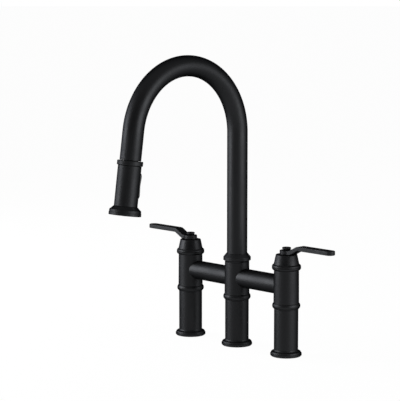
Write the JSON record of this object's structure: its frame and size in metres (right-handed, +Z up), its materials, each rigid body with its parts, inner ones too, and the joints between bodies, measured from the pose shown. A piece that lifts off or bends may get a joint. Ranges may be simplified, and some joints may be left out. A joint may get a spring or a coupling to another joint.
{
  "type": "bridge kitchen faucet",
  "caption": "Two-handle bridge kitchen faucet with a swivel gooseneck spout and a pull-down spray head, in matte black.",
  "frame": {"origin": "centre of the centre column on the deck", "axes": "+Z up, +X to the cold column, -Y towards the user along the spout"},
  "size_m": [0.3852, 0.2597, 0.429],
  "materials": {
    "matte_black": "satin black coating on brass",
    "brass": "machined",
    "steel": "plain",
    "rubber": "matte",
    "ceramic": "polished",
    "nylon": "moulded",
    "dark_plastic": "moulded, satin",
    "hose": "nylon braid"
  },
  "bodies": {
    "base": {"leg_hot": "matte_black", "valve_body_hot": "matte_black", "bonnet_hot": "matte_black", "bridge_arm_hot": "matte_black", "foot_gasket_hot": "rubber", "cartridge_seal_hot": "rubber", "bridge_ring_hot_inner": "rubber", "bridge_ring_hot_outer": "rubber", "inlet_nipple_hot": "brass", "cartridge_body_hot": "brass", "fixed_disc_hot": "ceramic", "bonnet_bush_hot": "nylon", "leg_cold": "matte_black", "valve_body_cold": "matte_black", "bonnet_cold": "matte_black", "bridge_arm_cold": "matte_black", "foot_gasket_cold": "rubber", "cartridge_seal_cold": "rubber", "bridge_ring_cold_inner": "rubber", "bridge_ring_cold_outer": "rubber", "inlet_nipple_cold": "brass", "cartridge_body_cold": "brass", "fixed_disc_cold": "ceramic", "bonnet_bush_cold": "nylon", "leg_centre": "matte_black", "tee_body": "matte_black", "spout_collar": "matte_black", "foot_gasket_centre": "rubber", "mixed_water_tube": "brass", "hose_guide": "steel", "swivel_washer": "nylon"},
    "hot_handle": {"turning_disc_hot": "ceramic", "valve_stem_hot": "brass", "lever_hot": "matte_black", "lever_bolt_hot": "matte_black"},
    "cold_handle": {"turning_disc_cold": "ceramic", "valve_stem_cold": "brass", "lever_cold": "matte_black", "lever_bolt_cold": "matte_black"},
    "spout": {"gooseneck": "matte_black", "swivel_stem": "brass", "swivel_clip": "steel", "spout_ring_lower": "rubber", "spout_ring_upper": "rubber", "docking_guide": "dark_plastic", "spray_hose": "hose"},
    "hose_end": {"hose_fitting": "brass"},
    "spray_head": {"docking_ring": "matte_black", "spray_body": "matte_black", "spray_core": "dark_plastic", "check_valve": "nylon", "spray_bell": "matte_black", "nozzle_face": "dark_plastic", "aerator": "dark_plastic", "rocker_pin": "steel"},
    "rocker_button": {"rocker": "dark_plastic"},
    "diverter": {"diverter_spool": "nylon"}
  },
  "joints": [
    {"name": "hot_handle_turn", "type": "hinge", "parent": "base", "child": "hot_handle", "pos_m": [-0.1016, 0, 0.147], "axis": [0, 0, 1], "range_deg": [0, 90]},
    {"name": "cold_handle_turn", "type": "hinge", "parent": "base", "child": "cold_handle", "pos_m": [0.1016, 0, 0.147], "axis": [0, 0, 1], "range_deg": [-90, 0]},
    {"name": "spout_swivel", "type": "hinge", "parent": "base", "child": "spout", "pos_m": [0, 0, 0.13], "axis": [0, 0, 1], "range_deg": [-180, 180]},
    {"name": "spray_pull", "type": "slide", "parent": "spout", "child": "hose_end", "axis": [0, -0.1392, -0.9903], "range_m": [0, 0.2], "stiffness_N_per_m": 20, "springref_m": -0.6, "deforming": ["spray_hose"]},
    {"name": "spray_twist", "type": "hinge", "parent": "hose_end", "child": "spray_head", "pos_m": [0, -0.19843, 0.32848], "axis": [0, -0.1392, -0.9903], "continuous": true},
    {"name": "rocker_tilt", "type": "hinge", "parent": "spray_head", "child": "rocker_button", "pos_m": [0, -0.19587, 0.25187], "axis": [1, 0, 0], "range_deg": [-5, 5]},
    {"name": "diverter_slide", "type": "slide", "parent": "spray_head", "child": "diverter", "axis": [0, -0.1392, -0.9903], "range_m": [-0.0004, 0.0004]}
  ],
  "couplings": [
    {"joint": "diverter_slide", "follows": "rocker_tilt", "m_per_rad": 0.0036}
  ]
}
